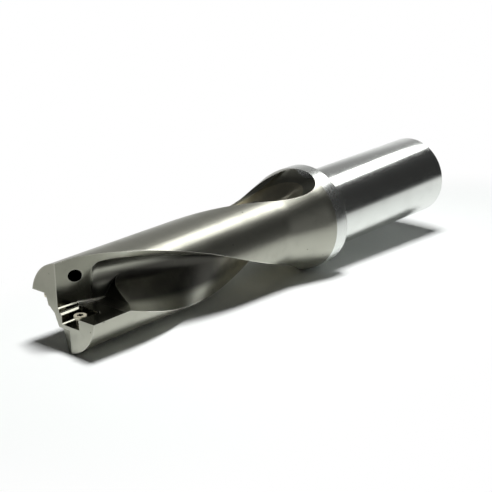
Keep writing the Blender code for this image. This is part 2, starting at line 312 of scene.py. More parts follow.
def flute_tree():
    """Sweeps the section along X; the inputs are the sizes of the milling rule."""
    tree = bpy.data.node_groups.new("flute_milling", "GeometryNodeTree")
    numbers = ("Start Angle", "Twist per mm", "Twist Start", "Web Taper", "Run-out", "Run-out Radius")
    keys = group_inputs(tree, "Section", numbers)
    tree.interface.new_socket("Cutter", in_out="OUTPUT", socket_type="NodeSocketGeometry")
    entry = tree.nodes.new("NodeGroupInput")
    given = {socket.name: Wire(tree, socket) for socket in entry.outputs}
    wire = given["Section"]
    index = wire.out(wire.node("GeometryNodeInputIndex"))
    past_entry = index - ENTRY_STEPS
    entry_turn = (1 - index / ENTRY_STEPS).high(0.0) * (math.pi / 2)
    along = (past_entry / STRAIGHT_STEPS).high(0.0).low(1.0)
    end_turn = ((past_entry - STRAIGHT_STEPS) / END_STEPS).high(0.0) * (math.pi / 2)
    full_depth = FLUTE_START + FLUTE_START_RADIUS
    place = full_depth - entry_turn.sine() * FLUTE_START_RADIUS
    place = place + along * (given["Run-out"] - full_depth)
    place = place + end_turn.sine() * given["Run-out Radius"]
    # only the line's number of points matters, because each is then set to its place
    count = ENTRY_STEPS + STRAIGHT_STEPS + END_STEPS + 1
    line = wire.node("GeometryNodeCurvePrimitiveLine", {"mode": "POINTS"}, End=(100, 0, 0))
    points = wire.node("GeometryNodeResampleCurve", {"mode": "COUNT"}, Curve=wire.out(line), Count=count)
    flat = wire.out(wire.node("ShaderNodeCombineXYZ", X=place))
    path = wire.node("GeometryNodeSetPosition", Geometry=wire.out(points), Position=flat)
    lifted = FLUTE_START_RADIUS * (1 - entry_turn.cosine())
    taper = given["Web Taper"] * (place - WEB_TAPER_START).high(0.0)
    ending = given["Run-out Radius"] * (1 - end_turn.cosine()) + taper
    stored = wire.out(path)
    for name, value in (("entry_lift", lifted), ("end_lift", ending)):
        keep = wire.node(
            "GeometryNodeStoreNamedAttribute",
            {"data_type": "FLOAT", "domain": "POINT"},
            Geometry=stored,
            Name=name,
            Value=value,
        )
        stored = wire.out(keep)
    profile = wire.out(wire.node("GeometryNodeMeshToCurve", Mesh=wire))
    sweep = wire.node("GeometryNodeCurveToMesh", Curve=stored, Profile_Curve=profile, Fill_Caps=True)
    swept = wire.out(sweep)
    position = wire.out(wire.node("GeometryNodeInputPosition"))
    split = wire.node("ShaderNodeSeparateXYZ", Vector=position)
    x = wire.out(split, "X")
    reads = []
    for name in ("entry_lift", "end_lift"):
        made = wire.node("GeometryNodeInputNamedAttribute", {"data_type": "FLOAT"}, Name=name)
        reads.append(wire.out(made))
    y = wire.out(split, "Y") - reads[0] + reads[1] * math.cos(FLUTE_MOUTH)
    z = wire.out(split, "Z") + reads[1] * math.sin(FLUTE_MOUTH)
    ahead = (x - given["Twist Start"] + TWIST_EASE).high(0.0)
    eased = ahead.low(2 * TWIST_EASE)
    twisted = eased * eased / (4 * TWIST_EASE) + (ahead - 2 * TWIST_EASE).high(0.0)
    rotated = wire.node(
        "ShaderNodeVectorRotate",
        {"rotation_type": "X_AXIS"},
        Vector=wire.out(wire.node("ShaderNodeCombineXYZ", X=x, Y=y, Z=z)),
        Angle=twisted * given["Twist per mm"] + given["Start Angle"],
    )
    moved = wire.node("GeometryNodeSetPosition", Geometry=swept, Position=wire.out(rotated))
    whole = wire.out(wire.node("GeometryNodeRealizeInstances", Geometry=wire.out(moved)))
    painted = wire.out(wire.node("GeometryNodeSetMaterial", Geometry=whole, Material=given["Material"]))
    leave = tree.nodes.new("NodeGroupOutput")
    tree.links.new(painted.socket, leave.inputs["Cutter"])
    return tree, keys


tool_steel = bpy.data.materials.new("tool_steel_satin")
milling, milling_keys = flute_tree()


def flute_cutter(name, start_angle):
    """The whole volume that the form cutter sweeps, for the flute at this angle."""
    points = flute_outline()
    count = len(points)
    mesh = bpy.data.meshes.new(name)
    # on a path along X, Curve to Mesh lays a profile's x along -Y and its y along -Z
    corners = [(-point.x, -point.y, 0) for point in points]
    mesh.from_pydata(corners, [(i, (i + 1) % count) for i in range(count)], [])
    cutter = bpy.data.objects.new(name, mesh)
    bpy.context.scene.collection.objects.link(cutter)
    sweep = cutter.modifiers.new("milling", "NODES")
    sweep.node_group = milling
    values = {
        "Start Angle": start_angle,
        "Twist per mm": TWIST_PER_MM,
        "Twist Start": TWIST_START,
        "Web Taper": WEB_TAPER,
        "Run-out": FLUTE_RUNOUT,
        "Run-out Radius": FLUTE_RUNOUT_RADIUS,
        "Material": tool_steel,
    }
    for key, value in values.items():
        sweep[milling_keys[key]] = value
    result = as_modified(cutter)
    cutter.modifiers.remove(sweep)
    cutter.data = result
    bm = bmesh.new()
    bm.from_mesh(result)
    bmesh.ops.remove_doubles(bm, verts=bm.verts, dist=MERGE_DISTANCE)
    bmesh.ops.recalc_face_normals(bm, faces=bm.faces)
    bm.to_mesh(result)
    bm.free()
    return cutter


cut_from(body, flute_cutter("inner_flute", 0.0))
cut_from(body, flute_cutter("outer_flute", math.pi))


# The gashes are milled to open each flute at the cutting end. The inner one has a flat
# wall and a ledge along its floor, and runs out into the flute as a long smooth valley.
# The outer one's wall leans, so that the inner pocket keeps its side.

END_OVERCUT = 1.0
OUTSIDE = 18.0
POCKET_LENGTH = 6.8
GASH_LENGTH = 26.0
GASH_STEPS = 52
GASH_FLOOR_LENGTH = 13.0
END_RISE = 3.4
LEAVING_START = 15.0
VALLEY_SIDE = Vector((0.4, 0.2))
WALL_TAPER_END = 19.0
WALL_OFFSET = 1.9
WALL_OFFSET_AT_END = 1.1
WALL_SHOULDER = 7.2
WALL_FOOT = 4.4
BLEND_START = 9.6
BLEND_END = 12.6
INNER_FLOOR = -1.5
FLOOR_STEP = 0.01
INNER_LEDGE_WIDTH = 0.38
LEDGE_SLOPE = math.tan(math.radians(42))
LEDGE_SLOPE_AT_END = math.tan(math.radians(38))
SLOPE_CHANGE_LENGTH = 1.0
INNER_LEDGE_LINE = (
    (-END_OVERCUT, WALL_OFFSET, -0.06),
    (POCKET_LENGTH, WALL_OFFSET, -0.4),
    (16.1, 0.27, INNER_FLOOR),
    (GASH_LENGTH, 0.27, INNER_FLOOR),
)
OUTER_FLOOR = -0.4
OUTER_WALL_FOOT = Vector((3.3, -1.9))
OUTER_CORNER = 5.2
OUTER_WALL_LEAN = math.radians(22)


def share(x, start, end):
    """How far x has come from the start to the end, from 0 to 1."""
    return min(max((x - start) / (end - start), 0.0), 1.0)


def turned_by(point, angle):
    return Matrix.Rotation(angle, 2) @ point


def ledge_corner(x):
    """The ledge's upper edge at x: y and z on the line through the (x, y, z) corners."""
    for near, far in zip(INNER_LEDGE_LINE, INNER_LEDGE_LINE[1:]):
        if near[0] <= x <= far[0]:
            return Vector(near[1:]).lerp(Vector(far[1:]), (x - near[0]) / (far[0] - near[0]))


def gullet_side(x):
    """The side of the flute's round gullet that faces the gash, where the two meet."""
    entry = math.asin(share(x, FLUTE_START + FLUTE_START_RADIUS, FLUTE_START))
    centre_y = GULLET_REACH - GULLET_RADIUS
    centre_z = math.sqrt((GULLET_RADIUS + WEB_HALF) ** 2 - centre_y ** 2)
    centre = Vector((centre_y - FLUTE_START_RADIUS * (1 - math.cos(entry)), centre_z))
    return turned_by(centre, twist(x)) + Vector((GULLET_RADIUS, 0.0))


def inner_gash_section(x):
    angle = twist(x)
    past_pocket = share(x, POCKET_LENGTH, WALL_TAPER_END)
    offset = WALL_OFFSET + (WALL_OFFSET_AT_END - WALL_OFFSET) * past_pocket
    changed = share(x, POCKET_LENGTH, POCKET_LENGTH + SLOPE_CHANGE_LENGTH)
    slope = LEDGE_SLOPE + (LEDGE_SLOPE_AT_END - LEDGE_SLOPE) * changed
    blend = share(x, BLEND_START, BLEND_END)
    foot = turned_by(Vector((offset, WALL_FOOT)), angle)
    foot = foot.lerp(gullet_side(x), blend ** 2 * (3 - 2 * blend))
    leaving = share(x, LEAVING_START, GASH_LENGTH)
    leaving = leaving * (2 - leaving)
    ledge = ledge_corner(x)
    rise = END_RISE * share(x, GASH_FLOOR_LENGTH, WALL_TAPER_END) ** 2
    corner = Vector((ledge.x, ledge.y + rise)).lerp(foot - VALLEY_SIDE, leaving)
    ledge_drop = max(ledge.y - INNER_LEDGE_WIDTH * slope, INNER_FLOOR + FLOOR_STEP) - ledge.y
    floor_drop = min(ledge_drop, INNER_FLOOR - ledge.y)
    return [
        turned_by(Vector((offset, OUTSIDE)), angle),
        turned_by(Vector((offset, WALL_SHOULDER)), angle),
        foot,
        corner,
        corner + Vector((-INNER_LEDGE_WIDTH, ledge_drop)),
        corner + Vector((-INNER_LEDGE_WIDTH, floor_drop)),
        Vector((-OUTSIDE, corner.y + floor_drop)),
        Vector((-OUTSIDE, OUTSIDE)),
    ]


def outer_gash_section(x):
    wall = Vector((math.sin(OUTER_WALL_LEAN), math.cos(OUTER_WALL_LEAN)))
    return [
        turned_by(OUTER_WALL_FOOT - OUTSIDE * wall, twist(x)),
        OUTER_WALL_FOOT,
        Vector((OUTER_CORNER, OUTER_FLOOR)),
        Vector((OUTSIDE, OUTER_FLOOR)),
        Vector((OUTSIDE, -2 * OUTSIDE)),
    ]


inner_places = [-END_OVERCUT] + [GASH_LENGTH * i / GASH_STEPS for i in range(GASH_STEPS + 1)]
outer_places = [x for x in inner_places if x <= WALL_TAPER_END]
for name, places, section in (
    ("inner_gash", inner_places, inner_gash_section),
    ("outer_gash", outer_places, outer_gash_section),
):
    cut_from(body, lofted(name, [[(x, *point) for point in section(x)] for x in places]))


# Each insert pocket is a flat-bottomed seat milled into its lobe, with round reliefs in its
# back corners. The inner one has a narrow slope at the foot of its side and a step beside
# it. Below it the end face is ground back at an angle.

INNER_POCKET_SIDE = 0.6
INNER_POCKET_WIDTH = 6.6
INNER_POCKET_FLARE = 0.4
INNER_POCKET_FLOOR = -4.4
INNER_POCKET_TOP = 1.0
INNER_RELIEF_TOP = -0.5
SEAT_FOOT = 0.3
POCKET_STEP_WIDTH = 0.5
POCKET_STEP_HEIGHT = 2.4
OUTER_POCKET_SIDE = 6.4
OUTER_POCKET_FLOOR = 2.8
OUTER_POCKET_TOP = -1.4
OUTER_SIDE_LEAN = 1.2
RELIEF_RADIUS = 0.7
RELIEF_INSET = 0.2
HOLE_SEGMENTS = 32
END_RELIEF_ANGLE = math.radians(16)
END_RELIEF_EDGE = -2.4
END_RELIEF_TOP = INNER_POCKET_FLOOR - 1.0


def prism(name, seat, bottom, top):
    return lofted(name, [[(x, y, z) for x, y in seat] for z in (bottom, top)])


def round_hole(name, x, y, radius, bottom, top):
    ring = [polar(radius, math.tau * i / HOLE_SEGMENTS) for i in range(HOLE_SEGMENTS)]
    return prism(name, [(x + point.x, y + point.y) for point in ring], bottom, top)


far_front = INNER_POCKET_SIDE - INNER_POCKET_WIDTH
far_back = far_front - INNER_POCKET_FLARE
seat_loops = []
for z, inset in (
    (INNER_POCKET_FLOOR, SEAT_FOOT),
    (INNER_POCKET_FLOOR + SEAT_FOOT * LEDGE_SLOPE, 0.0),
    (INNER_POCKET_TOP, 0.0),
):
    side = INNER_POCKET_SIDE - inset
    near_edge = ((-END_OVERCUT, side), (-END_OVERCUT, far_front))
    far_edge = ((POCKET_LENGTH, far_back), (POCKET_LENGTH, side))
    seat_loops.append([(x, y, z) for x, y in near_edge + far_edge])
cut_from(body, lofted("inner_seat", seat_loops))

step_side = INNER_POCKET_SIDE + POCKET_STEP_WIDTH
step_floor = INNER_POCKET_FLOOR + POCKET_STEP_HEIGHT
step_section = (
    (0.0, step_floor),
    (INNER_POCKET_SIDE, step_floor),
    (step_side, step_floor + POCKET_STEP_WIDTH * LEDGE_SLOPE),
    (step_side, INNER_POCKET_TOP),
    (0.0, INNER_POCKET_TOP),
)
step_loops = [[(x, y, z) for y, z in step_section] for x in (-END_OVERCUT, POCKET_LENGTH)]
cut_from(body, lofted("inner_step", step_loops))

relief_end = POCKET_LENGTH - RELIEF_INSET
for side in (INNER_POCKET_SIDE - RELIEF_INSET, far_back + RELIEF_INSET):
    relief = round_hole("inner_relief", relief_end, side, RELIEF_RADIUS, INNER_POCKET_FLOOR, INNER_RELIEF_TOP)
    cut_from(body, relief)

seat_loops = []
for z, side in (
    (OUTER_POCKET_TOP, OUTER_POCKET_SIDE - OUTER_SIDE_LEAN),
    (OUTER_POCKET_FLOOR, OUTER_POCKET_SIDE),
):
    near_edge = ((-END_OVERCUT, side), (-END_OVERCUT, OUTSIDE))
    far_edge = ((POCKET_LENGTH, OUTSIDE), (POCKET_LENGTH, side))
    seat_loops.append([(x, y, z) for x, y in near_edge + far_edge])
cut_from(body, lofted("outer_seat", seat_loops))

side = OUTER_POCKET_SIDE - RELIEF_INSET
relief = round_hole("outer_relief", relief_end, side, RELIEF_RADIUS, OUTER_POCKET_TOP, OUTER_POCKET_FLOOR)
cut_from(body, relief)

facet_back = (BODY_RADIUS - END_RELIEF_EDGE) * math.tan(END_RELIEF_ANGLE)
facet = (
    (-END_OVERCUT, END_RELIEF_EDGE),
    (0.0, END_RELIEF_EDGE),
    (facet_back, BODY_RADIUS),
    (-END_OVERCUT, BODY_RADIUS),
)
cut_from(body, prism("end_relief", facet, -2 * BODY_RADIUS, END_RELIEF_TOP))


# Coolant comes in through the shank's end and leaves by an oblique outlet in each gash
# wall; the ducts are drilled here as far as they can be seen. The screws stand in tapped
# holes in the pocket floors.

INLET_RADIUS = 4.5
INLET_CHAMFER = 0.8
INLET_END = 103.0
INLET_SEGMENTS = 96
DUCT_RADIUS = 1.6
DUCT_ORBIT = 7.9
DUCT_ANGLE = math.radians(34.7)
DUCT_BEND = 11.0
DUCT_SEEN = 30.0
DUCT_STEP = 2.0
DUCT_OVERCUT = 3.0
DUCT_SEGMENTS = 40
INNER_OUTLET = Vector((6.6, 1.9, 6.8))
OUTER_OUTLET = Vector((6.9, 1.2, -7.2))
SCREW_SETBACK = 3.5
SCREW_STAND = 2.3
SCREW_THREAD_RADIUS = 1.2
SCREW_GAP = 0.3
INNER_SCREW_SIDE = -2.6
OUTER_SCREW_SIDE = 8.7
TAPPING_DEPTH = 4.2
TAPPING_OVERCUT = 0.5

inlet = (
    (INLET_END, INLET_RADIUS),
    (SHANK_END - INLET_CHAMFER, INLET_RADIUS),
    (SHANK_END + END_OVERCUT, INLET_RADIUS + INLET_CHAMFER + END_OVERCUT),
)
cut_from(body, turned("coolant_inlet", inlet, INLET_SEGMENTS))


def duct_point(start, x):
    return Vector((x, *polar(DUCT_ORBIT, start + DUCT_ANGLE + twist(x))))


for start, outlet in ((0.0, INNER_OUTLET), (math.pi, OUTER_OUTLET)):
    bend = duct_point(start, DUCT_BEND)
    route = [outlet + (outlet - bend).normalized() * DUCT_OVERCUT, outlet, bend]
    x = DUCT_BEND + DUCT_STEP
    while x < DUCT_SEEN:
        route.append(duct_point(start, x))
        x += DUCT_STEP
    loops = []
    for i, point in enumerate(route):
        ahead = (route[min(i + 1, len(route) - 1)] - route[max(i - 1, 0)]).normalized()
        across = ahead.cross(Vector((0, 0, 1))).normalized()
        up = across.cross(ahead)
        ring = [polar(DUCT_RADIUS, math.tau * k / DUCT_SEGMENTS) for k in range(DUCT_SEGMENTS)]
        loops.append([point + across * p.x + up * p.y for p in ring])
    cut_from(body, lofted("coolant_duct", loops))

hole_radius = SCREW_THREAD_RADIUS + SCREW_GAP
for name, side, floor, sign in (
    ("inner_tapping", INNER_SCREW_SIDE, INNER_POCKET_FLOOR, 1),
    ("outer_tapping", OUTER_SCREW_SIDE, OUTER_POCKET_FLOOR, -1),
):
    bottom, top = sorted((floor - sign * TAPPING_DEPTH, floor + sign * TAPPING_OVERCUT))
    cut_from(body, round_hole(name, SCREW_SETBACK, side, hole_radius, bottom, top))


# The drill lies on its rim and on its lower lobe, so its axis rises a little towards the
# shank. Its mesh takes that place, because a finished object stays at the origin.

BODY_SHARP_ANGLE = math.radians(24)

tilt = math.atan2(RIM_RADIUS - BODY_RADIUS, RIM_FRONT)
end_radius = SHANK_RADIUS - SHANK_CHAMFER
middle = (SHANK_END * math.cos(tilt) + (end_radius - BODY_RADIUS) * math.sin(tilt)) / 2
height = RIM_RADIUS * math.cos(tilt) - RIM_FRONT * math.sin(tilt)
resting_place = Matrix.Translation((-middle * MM, 0, height * MM))
lying = resting_place @ Matrix.Rotation(-tilt, 4, "Y") @ Matrix.Scale(MM, 4)


def laid_down(piece, sharp_angle):
    piece.data.transform(lying)
    piece.data.shade_smooth()
    piece.data.set_sharp_from_angle(angle=sharp_angle)


laid_down(body, BODY_SHARP_ANGLE)
body.data.materials.clear()
body.data.materials.append(tool_steel)
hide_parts("drill_body")
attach(body, "root")


# The body's finish is a satin, slightly warm plated steel. The flutes are milled, painted
# dark as shade in their depth and paler in the run-outs, and the gash walls are painted
# darker, partly as shade; the rim and the shank are ground, with fine rings round the
# axis. Edges are painted pale, partly as wear and partly as highlights, the gash's ledge
# carries a painted highlight line, and a few pits and stains lie over everything.

GROUND_COLOUR = (0.74, 0.76, 0.73, 1.0)
SATIN_COLOUR = (0.42, 0.42, 0.36, 1.0)
MILLED_SHADED_COLOUR = (0.25, 0.25, 0.205, 1.0)
FLUTE_COLOUR = (0.42, 0.42, 0.36, 1.0)
DEEP_SHADE_COLOUR = (0.05, 0.048, 0.042, 1.0)
RUNOUT_COLOUR = (0.62, 0.59, 0.47, 1.0)
WORN_HIGHLIGHT_COLOUR = (0.72, 0.71, 0.64, 1.0)
STAIN_COLOUR = (0.16, 0.16, 0.13, 1.0)
GROUND_ROUGHNESS = 0.19
SATIN_ROUGHNESS = 0.31
MILLED_ROUGHNESS = 0.18
FLUTE_ROUGHNESS = 0.3
RUNOUT_ROUGHNESS = 0.38
LEDGE_ROUGHNESS = 0.48
RIM_POLISH = 0.35
RIM_WEAR_HIGHLIGHT = 0.6
FRONT_WEAR_HIGHLIGHT = 0.25
BEVEL_SAMPLES = 6
EDGE_RADIUS = 0.14 * MM
WEAR_HIGHLIGHT_RADIUS = 0.55 * MM
RING_DENSITY = 9.0
RING_STRETCH = 0.12
RING_HEIGHT = 0.001
MILLING_DENSITY = 60.0
MILLING_STRETCH = 0.12
MILLING_SPREAD = 5.0
MILLING_HEIGHT = 0.004
GRAIN_HEIGHT = 0.0004
PIT_DEPTH = 0.03
PIT_STAIN = 0.8
PIT_BAND = (0.07, 0.04)
PIT_DRAW_BAND = (0.86, 0.01)
STAIN_BAND = (0.62, 0.3)
STAIN_LEVEL = 0.2
STAIN_WIPED = 0.12
LAND_WEAR_HIGHLIGHT_WIDTH = 0.1
LAND_WEAR_HIGHLIGHT_SPREAD = 0.22
CORNER_WEAR_HIGHLIGHT_BAND = (0.025, 0.04)

# each of these is the middle and the width of a soft change, in millimetres
LAND_EDGE_BAND = (0.0, 0.1)
RIM_EDGE_BAND = (0.05, 0.1)
END_FACE_BAND = (0.05, 0.05)
END_HEIGHT_BAND = (-2.0, 12.0)
SKIN_BAND = (BODY_RADIUS - 0.08, 0.06)
LAND_BAND = (BODY_RADIUS - 0.2, 0.1)
GROUND_BAND = (RIM_FRONT, 0.1)
SHANK_BAND = (RIM_BACK + 0.2, 0.2)
OFF_WALL_BAND = (0.2, 0.08)
WALL_END_BAND = (BLEND_START + 1.5, 1.0)
WALL_TOP_BAND = (8.7, 0.4)
LEDGE_START_BAND = (POCKET_LENGTH, 0.1)
LEDGE_END_BAND = (15.8, 0.3)
FLUTE_START_BAND = (FLUTE_START + 1.6, 0.8)
GASH_COLOUR_BAND = (FLUTE_START + 6.0, 10.0)
RUNOUT_BAND = (62.0, 20.0)
FRONT_WEAR_HIGHLIGHT_BAND = (62.0, 8.0)
LAND_WEAR_HIGHLIGHT_START = (WALL_TAPER_END, 2.0)
LAND_WEAR_HIGHLIGHT_END = (WEB_TAPER_START + 4.0, 6.0)
DEPTH_BAND = (8.4, 3.0)
STRIP_BAND = (5.0, 3.2)
FLOOR_PAINTED_LIGHT_BAND = (2.6, 1.6)
FLOOR_PAINTED_LIGHT_END = (16.0, 4.0)
FLOOR_PAINTED_LIGHT = 0.4

# the painted highlight line along the ledge in the gash: its middle, its fall and drift past
# the pocket, then its half width and half height, each with the width of its soft edge
LEDGE_Y = WALL_OFFSET - INNER_LEDGE_WIDTH / 2
LEDGE_Z = -0.7
LEDGE_DRIFT = 0.175
LEDGE_FALL = 0.118
LEDGE_ACROSS = (0.38, 0.06)
LEDGE_UPWARDS = (0.5, 0.1)


def drill_coordinates(wire):
    """The point that is shaded, as the drill's own millimetres: vector, then x, y, z."""
    mapping = wire.node(
        "ShaderNodeMapping",
        {"vector_type": "TEXTURE"},
        Vector=wire.out(wire.node("ShaderNodeTexCoord"), "Object"),
        Location=tuple(lying.to_translation()),
        Rotation=(0.0, -tilt, 0.0),
        Scale=(MM, MM, MM),
    )
    place = wire.out(mapping)
    split = wire.node("ShaderNodeSeparateXYZ", Vector=place)
    return place, *(wire.out(split, axis) for axis in "XYZ")


tool_steel.use_nodes = True
shader = tool_steel.node_tree.nodes["Principled BSDF"]
shader.inputs["Metallic"].default_value = 1.0
steel = Wire(tool_steel.node_tree, None)
drill_place, x, y, z = drill_coordinates(steel)
radius = (y * y + z * z) ** 0.5
turn = steel.maths("ARCTAN2", z, y)
past_start = (x - TWIST_START + TWIST_EASE).high(0.0)
eased = past_start.low(2 * TWIST_EASE)
twisted = (eased * eased / (4 * TWIST_EASE) + (past_start - 2 * TWIST_EASE).high(0.0)) * TWIST_PER_MM
unwound = turn - twisted
lobe_turn = steel.maths("FRACT", unwound / math.pi) * math.pi

past_pocket = ((x - POCKET_LENGTH) / (WALL_TAPER_END - POCKET_LENGTH)).high(0.0).low(1.0)
wall_offset = WALL_OFFSET - past_pocket * (WALL_OFFSET - WALL_OFFSET_AT_END)
up_wall = radius * lobe_turn.sine()
off_wall = steel.maths("ABSOLUTE", radius * lobe_turn.cosine() - wall_offset).step(*OFF_WALL_BAND)
off_wall = off_wall.high(x.step(*WALL_END_BAND) * (1 - up_wall.step(*WALL_TOP_BAND)))
beyond = (x - POCKET_LENGTH).high(0.0)
# painted highlight: a thin line along the gash's ledge takes the pale worn colour
ledge_highlight = (y + beyond * LEDGE_DRIFT).within(LEDGE_Y, *LEDGE_ACROSS)
ledge_highlight = ledge_highlight * (z + beyond * LEDGE_FALL).within(LEDGE_Z, *LEDGE_UPWARDS)
ledge_highlight = ledge_highlight * x.step(*LEDGE_START_BAND) * (1 - x.step(*LEDGE_END_BAND))
ground = x.step(*GROUND_BAND)
behind_end = x.step(*END_FACE_BAND)
inside = (1 - radius.step(*SKIN_BAND)) * (1 - ground) * behind_end
in_flute = inside * off_wall * (1 - ledge_highlight) * x.step(*FLUTE_START_BAND)

round_axis = steel.node(
    "ShaderNodeCombineXYZ",
    X=x * RING_DENSITY,
    Y=y * RING_STRETCH,
    Z=z * RING_STRETCH,
)
rings = steel.out(
    steel.node("ShaderNodeTexNoise", Vector=steel.out(round_axis), Scale=1.0, Detail=3.0, Roughness=0.5)
)
along_helix = steel.node(
    "ShaderNodeCombineXYZ",
    X=x * MILLING_STRETCH,
    Y=unwound * MILLING_DENSITY,
    Z=radius * MILLING_SPREAD,
)
milled = steel.out(
    steel.node("ShaderNodeTexNoise", Vector=steel.out(along_helix), Scale=1.0, Detail=4.0, Roughness=0.6)
)
grain = steel.out(steel.node("ShaderNodeTexNoise", Vector=drill_place, Scale=14.0, Detail=3.0))
cloud = steel.out(
    steel.node("ShaderNodeTexNoise", Vector=drill_place, Scale=0.16, Detail=4.0, Roughness=0.6)
)
drift = steel.out(
    steel.node("ShaderNodeTexNoise", Vector=drill_place, Scale=0.55, Detail=5.0, Distortion=0.6)
)
cells = steel.node("ShaderNodeTexVoronoi", Vector=drill_place, Scale=0.3)
cell_draw = steel.out(steel.node("ShaderNodeSeparateColor", Color=steel.out(cells, "Color")), "Red")
pit = (1 - steel.out(cells, "Distance").step(*PIT_BAND)) * cell_draw.step(*PIT_DRAW_BAND)

# painted highlights and wear: land edges, the rim's back edge and rounded corners turn pale, partly as worn
# metal and partly as edge highlights
from_heel = steel.maths("ABSOLUTE", lobe_turn - FLUTE_HEEL) * radius
from_lip = steel.maths("ABSOLUTE", lobe_turn - FLUTE_LIP) * radius
on_land = radius.step(*LAND_BAND) * x.step(*LAND_WEAR_HIGHLIGHT_START) * (1 - x.step(*LAND_WEAR_HIGHLIGHT_END))
wear_highlight_width = LAND_WEAR_HIGHLIGHT_WIDTH + drift * LAND_WEAR_HIGHLIGHT_SPREAD
edge = (1 - (from_heel.low(from_lip) - wear_highlight_width).step(*LAND_EDGE_BAND)) * on_land
from_rim_edge = steel.maths("ABSOLUTE", x - (RIM_BACK - RIM_CHAMFER / 2)) - RIM_CHAMFER / 2
rim_edge = 1 - from_rim_edge.step(*RIM_EDGE_BAND)
wear_highlight_normal = steel.out(steel.node("ShaderNodeBevel", {"samples": BEVEL_SAMPLES}, Radius=WEAR_HIGHLIGHT_RADIUS))
facing = steel.out(steel.node("ShaderNodeNewGeometry"), "Normal")
together = steel.node("ShaderNodeVectorMath", {"operation": "DOT_PRODUCT"}, _0=wear_highlight_normal, _1=facing)
corner_wear_highlight = (1 - steel.out(together, "Value")).step(*CORNER_WEAR_HIGHLIGHT_BAND) * (1 - ground)
corner_wear_highlight = corner_wear_highlight * (FRONT_WEAR_HIGHLIGHT + (1 - FRONT_WEAR_HIGHLIGHT) * x.step(*FRONT_WEAR_HIGHLIGHT_BAND))
worn_and_highlit = edge.high(rim_edge * RIM_WEAR_HIGHLIGHT).high(ledge_highlight).high(corner_wear_highlight)
stained = cloud.step(*STAIN_BAND) * (STAIN_LEVEL - ground * STAIN_WIPED)
stained = (stained + pit * PIT_STAIN).low(1.0) * (1 - worn_and_highlit)


def mixed_in(factor, low, high):
    """A colour between two others, each given as a colour or as a wire."""
    made = factor.node("ShaderNodeMix", {"data_type": "RGBA"}, Factor=factor)
    for index, value in ((6, low), (7, high)):
        if isinstance(value, Wire):
            factor.tree.links.new(value.socket, made.inputs[index])
        else:
            made.inputs[index].default_value = value
    return factor.out(made, 2)


# painted shade in part: the gash walls take a darker milled colour, and so does the end face, more so towards
# its top
end_face = (1 - behind_end) * z.step(*END_HEIGHT_BAND)
near_gash = (inside * (1 - x.step(*GASH_COLOUR_BAND))).high(end_face)
near_runout = x.step(*RUNOUT_BAND)
# painted shade: the flute goes dark in its depth; near its rim, along the heel strip and, as painted light,
# on its floor near the gash it stays lighter
painted_floor_light = (1 - x.step(*FLOOR_PAINTED_LIGHT_END)) * (1 - up_wall.step(*FLOOR_PAINTED_LIGHT_BAND)) * FLOOR_PAINTED_LIGHT
unshaded_flute = radius.step(*DEPTH_BAND).high(up_wall.step(*STRIP_BAND)).high(painted_floor_light)
flute_colour = mixed_in(unshaded_flute, DEEP_SHADE_COLOUR, FLUTE_COLOUR)
flute_colour = mixed_in(near_runout * (0.6 + drift * 0.8), flute_colour, RUNOUT_COLOUR)
colour = mixed_in(ground, SATIN_COLOUR, GROUND_COLOUR)
colour = mixed_in(near_gash, colour, MILLED_SHADED_COLOUR)
colour = mixed_in(in_flute, colour, flute_colour)
colour = mixed_in(worn_and_highlit, colour, WORN_HIGHLIGHT_COLOUR)
colour = mixed_in(stained, colour, STAIN_COLOUR)

polish = ground * (RIM_POLISH + (1 - RIM_POLISH) * x.step(*SHANK_BAND))
roughness = SATIN_ROUGHNESS + polish * (GROUND_ROUGHNESS - SATIN_ROUGHNESS)
roughness = roughness + inside * (MILLED_ROUGHNESS - SATIN_ROUGHNESS)
roughness = roughness + in_flute * (FLUTE_ROUGHNESS - MILLED_ROUGHNESS)
roughness = roughness + in_flute * near_runout * (RUNOUT_ROUGHNESS - FLUTE_ROUGHNESS)
roughness = roughness + ledge_highlight * (LEDGE_ROUGHNESS - MILLED_ROUGHNESS)
roughness = roughness + (cloud - 0.5) * 0.08 + (drift - 0.5) * 0.05 + stained * 0.15 - worn_and_highlit * 0.08

relief_height = (rings - 0.5) * (1 - in_flute) * RING_HEIGHT + (milled - 0.5) * in_flute * MILLING_HEIGHT
relief_height = relief_height + (grain - 0.5) * GRAIN_HEIGHT - pit * PIT_DEPTH
softened = steel.out(steel.node("ShaderNodeBevel", {"samples": BEVEL_SAMPLES}, Radius=EDGE_RADIUS))
bumped = steel.node("ShaderNodeBump", Height=relief_height, Distance=MM, Strength=1.0, Normal=softened)
steel.tree.links.new(colour.socket, shader.inputs["Base Color"])
steel.tree.links.new(roughness.socket, shader.inputs["Roughness"])
steel.tree.links.new(bumped.outputs[0], shader.inputs["Normal"])


# Each insert screw is a small steel countersunk screw with a star socket. It stands where
# it was left in its pocket, with the head clear of the seat and its thread in the hole.

HEAD_RADIUS = 1.7
HEAD_RIM = 0.7
HEAD_CONE = 0.8
SCREW_LENGTH = 6.2
TIP_CHAMFER = 0.3
TIP_FREE = 0.6
SCREW_ROUND = 0.08
SOCKET_RADIUS = 0.85
SOCKET_LOBE = 0.12
SOCKET_LOBES = 6
SOCKET_DEPTH = 0.9
SOCKET_BORDER = 0.15
FUNNEL_DEPTH = 0.08
FUNNEL_SPREAD = 1.08
THREAD_PITCH = 0.45
THREAD_HEIGHT = 0.12
THREAD_HALF = 0.42 * THREAD_PITCH
THREAD_SINK = 0.04
THREAD_DROP = 0.1
THREAD_TURN_STEPS = 36
ROOT_RADIUS = SCREW_THREAD_RADIUS - THREAD_HEIGHT
SCREW_SEGMENTS = 72
SCREW_SHARP_ANGLE = math.radians(30)
SCREW_METALLIC = 0.45
SCREW_ROUGHNESS = 0.24
TARNISH_ROUGHNESS = 0.14
STRAW_START = 0.3
STRAW_END = 0.7
